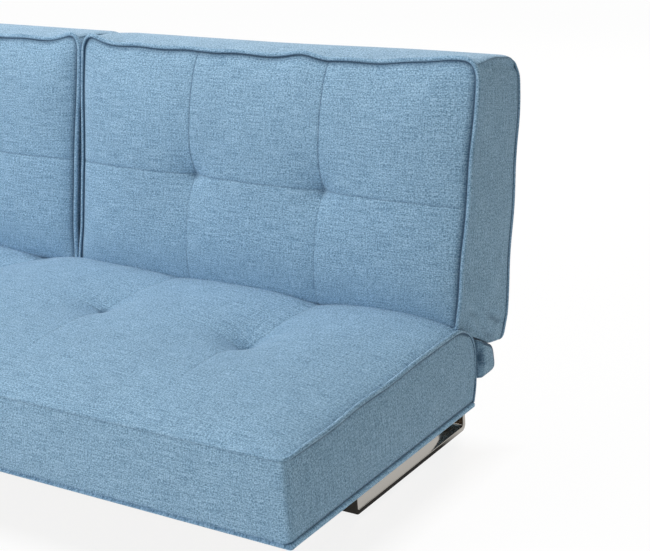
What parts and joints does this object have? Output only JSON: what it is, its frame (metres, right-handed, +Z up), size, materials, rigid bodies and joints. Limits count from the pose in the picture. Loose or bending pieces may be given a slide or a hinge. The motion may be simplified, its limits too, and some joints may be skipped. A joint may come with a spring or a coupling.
{
  "type": "futon sofa bed",
  "caption": "Armless tufted sofa bed with one long seat, two side-by-side backs that fold flat on click-clack hinges, and chrome flat-bar sled legs.",
  "frame": {"origin": "centre of the footprint at floor level", "axes": "+X along the sofa towards its right-hand end as seen from the front, +Y from the front towards the backs, +Z up"},
  "size_m": [1.866, 0.831, 0.8225],
  "materials": {
    "cover_fabric": "matte",
    "hem_fabric": "matte",
    "hinge_pad_fabric": "matte",
    "foam": "matte",
    "dust_cloth": "matte",
    "leg_chrome": "polished",
    "glide_plastic": "matte",
    "panel_board": "matte",
    "frame_paint": "satin",
    "spring_steel": "satin",
    "plate_paint": "satin",
    "hinge_paint": "satin",
    "zinc_steel": "satin"
  },
  "bodies": {
    "seat": {"hinge_bracket_bolts": "zinc_steel", "hinge_bracket_left_inner": "hinge_paint", "hinge_bracket_left_outer": "hinge_paint", "hinge_bracket_right_inner": "hinge_paint", "hinge_bracket_right_outer": "hinge_paint", "hinge_bracket_rivet_nuts": "zinc_steel", "hinge_pad_left": "hinge_pad_fabric", "hinge_pad_right": "hinge_pad_fabric", "hinge_pivot_bolts": "zinc_steel", "hinge_pivot_nuts": "zinc_steel", "hinge_washers": "zinc_steel", "leg_bolts": "zinc_steel", "leg_glides": "glide_plastic", "leg_left": "leg_chrome", "leg_plates": "plate_paint", "leg_right": "leg_chrome", "leg_rivet_nuts": "zinc_steel", "pawl_pins": "zinc_steel", "pawl_springs": "spring_steel", "seat_cover": "cover_fabric", "seat_dust_cover": "dust_cloth", "seat_foam": "foam", "seat_frame_cross_rails": "frame_paint", "seat_frame_long_rails": "frame_paint", "seat_hem_boards": "hem_fabric", "seat_spring_clips": "zinc_steel", "seat_springs": "spring_steel"},
    "back_right": {"back_right_arm_bolts": "zinc_steel", "back_right_arm_nuts": "zinc_steel", "back_right_cover": "cover_fabric", "back_right_foam": "foam", "back_right_frame_rails": "frame_paint", "back_right_frame_stiles": "frame_paint", "back_right_panel": "panel_board", "back_right_spring_clips": "zinc_steel", "back_right_springs": "spring_steel", "hinge_arm_right_inner": "hinge_paint", "hinge_arm_right_outer": "hinge_paint"},
    "back_left": {"back_left_arm_bolts": "zinc_steel", "back_left_arm_nuts": "zinc_steel", "back_left_cover": "cover_fabric", "back_left_foam": "foam", "back_left_frame_rails": "frame_paint", "back_left_frame_stiles": "frame_paint", "back_left_panel": "panel_board", "back_left_spring_clips": "zinc_steel", "back_left_springs": "spring_steel", "hinge_arm_left_inner": "hinge_paint", "hinge_arm_left_outer": "hinge_paint"},
    "pawl_right_outer": {"pawl_right_outer": "zinc_steel"},
    "pawl_right_inner": {"pawl_right_inner": "zinc_steel"},
    "pawl_left_outer": {"pawl_left_outer": "zinc_steel"},
    "pawl_left_inner": {"pawl_left_inner": "zinc_steel"}
  },
  "joints": [
    {"name": "back_right_fold", "type": "hinge", "parent": "seat", "child": "back_right", "pos_m": [0.465, 0.2375, 0.2421], "axis": [1, 0, 0], "range_deg": [-79, 5]},
    {"name": "back_left_fold", "type": "hinge", "parent": "seat", "child": "back_left", "pos_m": [-0.465, 0.2375, 0.2421], "axis": [1, 0, 0], "range_deg": [-79, 5]},
    {"name": "pawl_right_outer_lift", "type": "hinge", "parent": "seat", "child": "pawl_right_outer", "pos_m": [0.888, 0.2475, 0.1941], "axis": [1, 0, 0], "range_deg": [-20, 0], "stiffness_Nm_per_rad": 0.05, "springref_deg": 28.65},
    {"name": "pawl_right_inner_lift", "type": "hinge", "parent": "seat", "child": "pawl_right_inner", "pos_m": [0.048, 0.2475, 0.1941], "axis": [1, 0, 0], "range_deg": [-20, 0], "stiffness_Nm_per_rad": 0.05, "springref_deg": 28.65},
    {"name": "pawl_left_outer_lift", "type": "hinge", "parent": "seat", "child": "pawl_left_outer", "pos_m": [-0.888, 0.2475, 0.1941], "axis": [1, 0, 0], "range_deg": [-20, 0], "stiffness_Nm_per_rad": 0.05, "springref_deg": 28.65},
    {"name": "pawl_left_inner_lift", "type": "hinge", "parent": "seat", "child": "pawl_left_inner", "pos_m": [-0.048, 0.2475, 0.1941], "axis": [1, 0, 0], "range_deg": [-20, 0], "stiffness_Nm_per_rad": 0.05, "springref_deg": 28.65}
  ]
}
